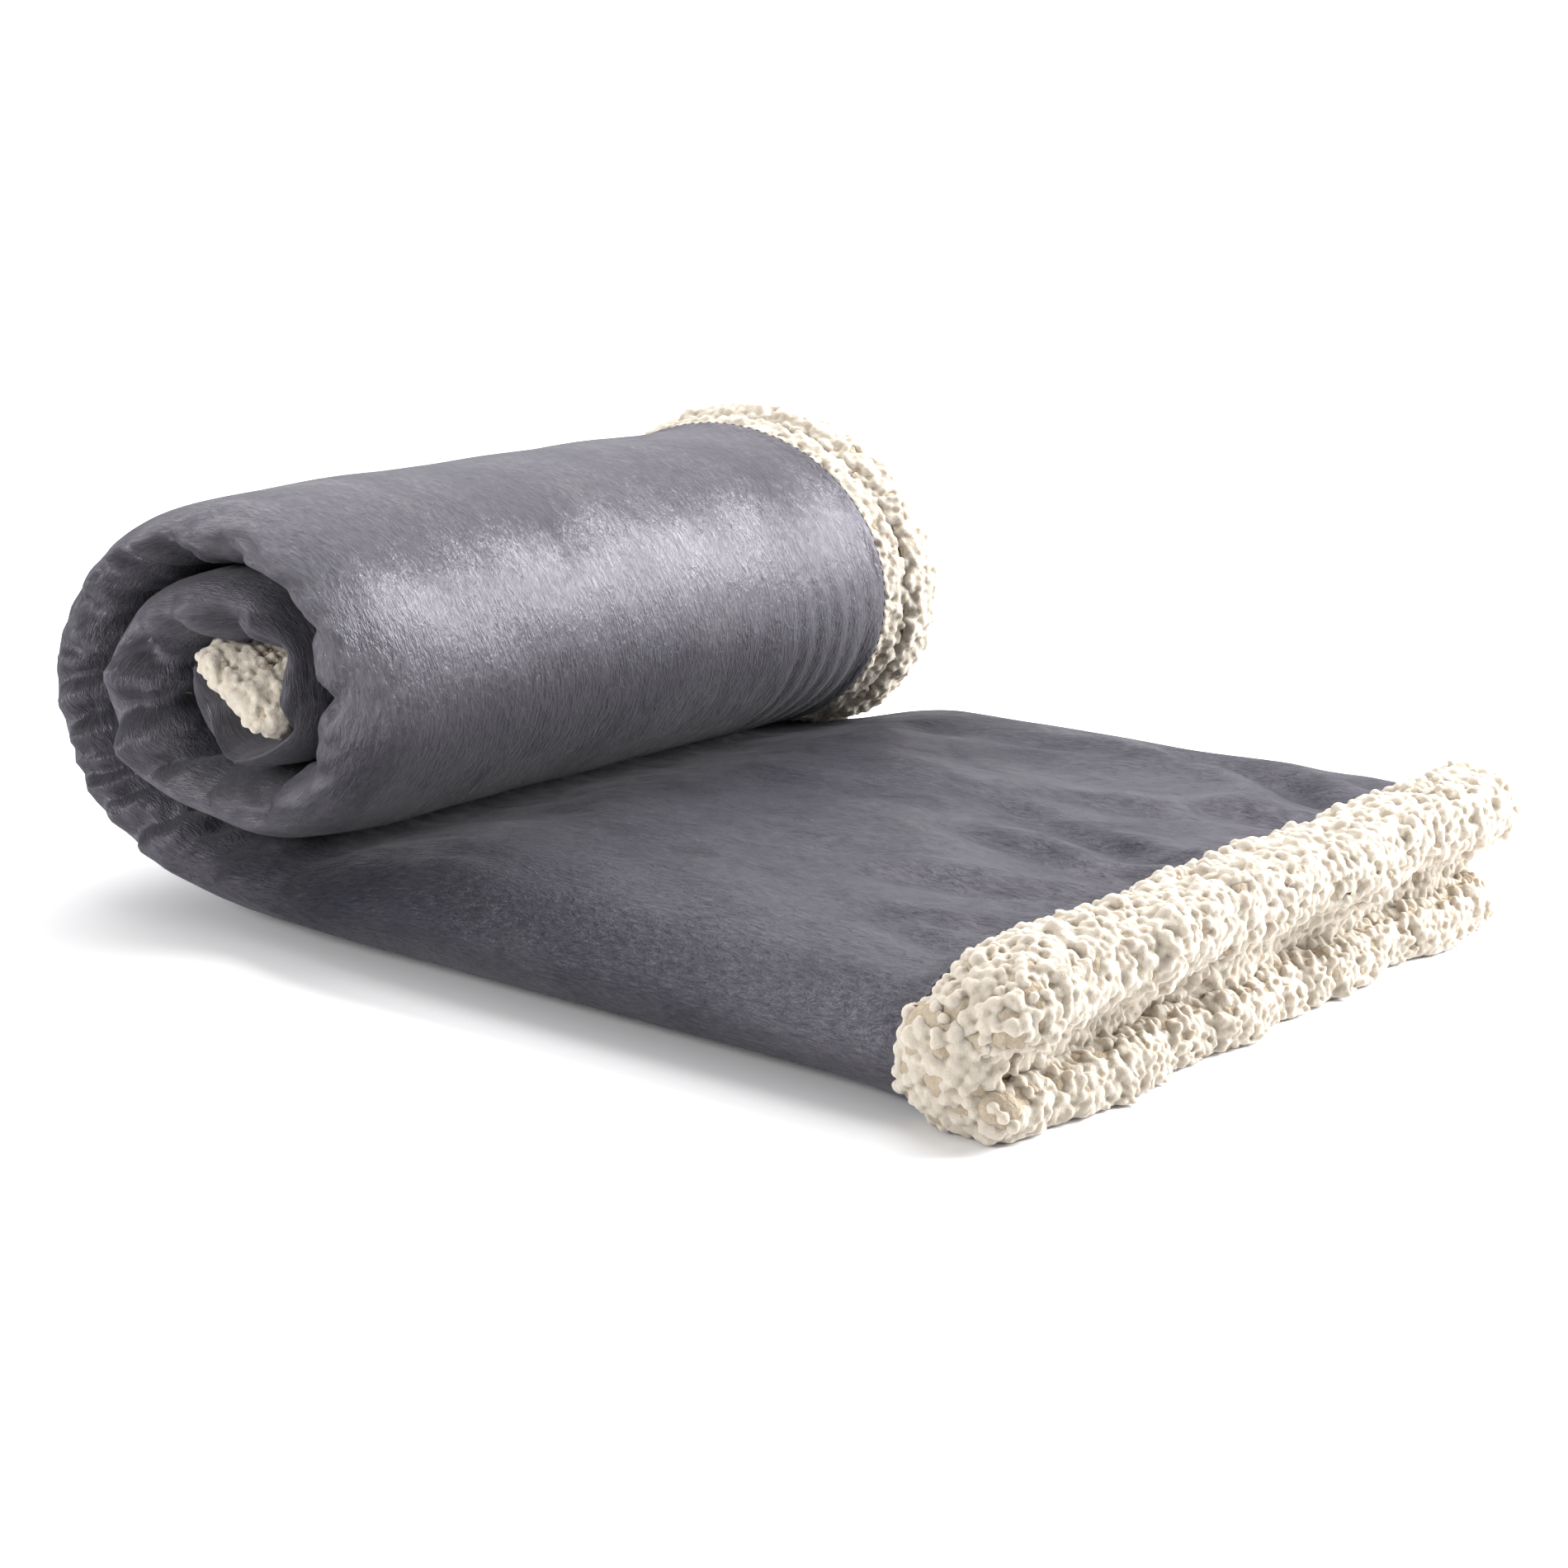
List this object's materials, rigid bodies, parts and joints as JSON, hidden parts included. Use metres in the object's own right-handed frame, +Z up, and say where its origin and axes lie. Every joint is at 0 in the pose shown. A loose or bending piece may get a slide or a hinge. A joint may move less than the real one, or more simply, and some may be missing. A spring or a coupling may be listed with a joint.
{
  "type": "folded throw blanket",
  "caption": "Grey plush throw with a cream sherpa back and border, folded lengthwise and rolled up on its own flat free end.",
  "frame": {"origin": "the middle of the blanket's box, on the surface it lies on", "axes": "+X from the roll to the free end, +Y along the roll's axis away from the puckered end, +Z up"},
  "size_m": [0.4422, 0.387, 0.161],
  "materials": {
    "plush": "short-pile grey plush with a directional nap",
    "sherpa": "cream curled sherpa pile",
    "thread": "twisted polyester sewing thread"
  },
  "bodies": {
    "root": {"plush_face": "plush", "sherpa_back": "sherpa", "thread_free_end": "thread", "thread_inner_end": "thread", "thread_side_lower": "thread", "thread_side_upper": "thread"}
  },
  "joints": []
}
